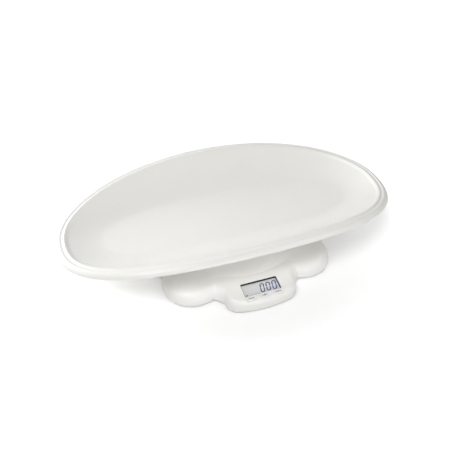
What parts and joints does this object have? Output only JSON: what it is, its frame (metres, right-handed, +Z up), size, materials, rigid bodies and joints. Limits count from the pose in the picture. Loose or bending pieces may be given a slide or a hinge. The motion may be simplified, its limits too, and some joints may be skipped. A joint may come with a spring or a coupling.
{
  "type": "digital baby weighing scale",
  "caption": "Low digital baby scale: a long oval weighing tray lifts off a lobed base that has a display, keys, load-cell feet and a battery box underneath.",
  "frame": {"origin": "on the floor under the middle of the tray and base", "axes": "+X to the right along the tray's length, +Z up, the display faces the user at -Y"},
  "size_m": [0.56, 0.3506, 0.092],
  "materials": {
    "tray": "smooth warm white moulding",
    "housing": "smooth white moulding",
    "cover": "fine-grained white moulding",
    "lens": "clear polished acrylic",
    "bezel": "black moulding",
    "display": "grey reflective liquid crystal glass",
    "holder": "white moulding",
    "strip": "striped conductive rubber",
    "board": "green solder mask",
    "screw": "zinc plated",
    "key": "smooth white moulding",
    "plunger": "black moulding",
    "switch": "tinned sheet",
    "cell_plate": "nickel plated spring steel",
    "foot": "white moulding",
    "pad": "dark grey rubber",
    "battery": "printed metal can",
    "contact": "nickel plated",
    "cell_wire": "red soft insulation",
    "battery_wire": "black soft insulation"
  },
  "bodies": {
    "base": {"top_housing": "housing", "bottom_cover": "cover", "window_lens": "lens", "window_bezel": "bezel", "lcd_glass": "display", "lcd_holder": "holder", "contact_strip": "strip", "circuit_board": "board", "board_screws": "screw", "housing_screws": "screw", "switch_cases": "switch", "load_cell_fl": "cell_plate", "load_cell_fr": "cell_plate", "load_cell_rl": "cell_plate", "load_cell_rr": "cell_plate", "foot_fl": "foot", "foot_fr": "foot", "foot_rl": "foot", "foot_rr": "foot", "foot_pad_fl": "pad", "foot_pad_fr": "pad", "foot_pad_rl": "pad", "foot_pad_rr": "pad", "battery_1": "battery", "battery_2": "battery", "battery_3": "battery", "battery_4": "battery", "battery_springs": "contact", "battery_contacts": "contact", "cell_leads": "cell_wire", "battery_lead": "battery_wire"},
    "tray": {"tray": "tray"},
    "key_left": {"key_left": "key", "plunger_left": "plunger"},
    "key_middle": {"key_middle": "key", "plunger_middle": "plunger"},
    "key_right": {"key_right": "key", "plunger_right": "plunger"},
    "battery_door": {"battery_door": "cover"}
  },
  "joints": [
    {"name": "tray_lift", "type": "slide", "parent": "base", "child": "tray", "axis": [0, 0, 1], "range_m": [0, 0.12]},
    {"name": "key_left_press", "type": "slide", "parent": "base", "child": "key_left", "axis": [0, 0.0698, -0.9976], "range_m": [0, 0.0005], "stiffness_N_per_m": 600, "springref_m": -0.0005},
    {"name": "key_middle_press", "type": "slide", "parent": "base", "child": "key_middle", "axis": [0, 0.0698, -0.9976], "range_m": [0, 0.0005], "stiffness_N_per_m": 600, "springref_m": -0.0005},
    {"name": "key_right_press", "type": "slide", "parent": "base", "child": "key_right", "axis": [0, 0.0698, -0.9976], "range_m": [0, 0.0005], "stiffness_N_per_m": 600, "springref_m": -0.0005},
    {"name": "battery_door_hinge", "type": "hinge", "parent": "base", "child": "battery_door", "pos_m": [0, 0.05515, 0.0045], "axis": [1, 0, 0], "range_deg": [0, 80]}
  ]
}
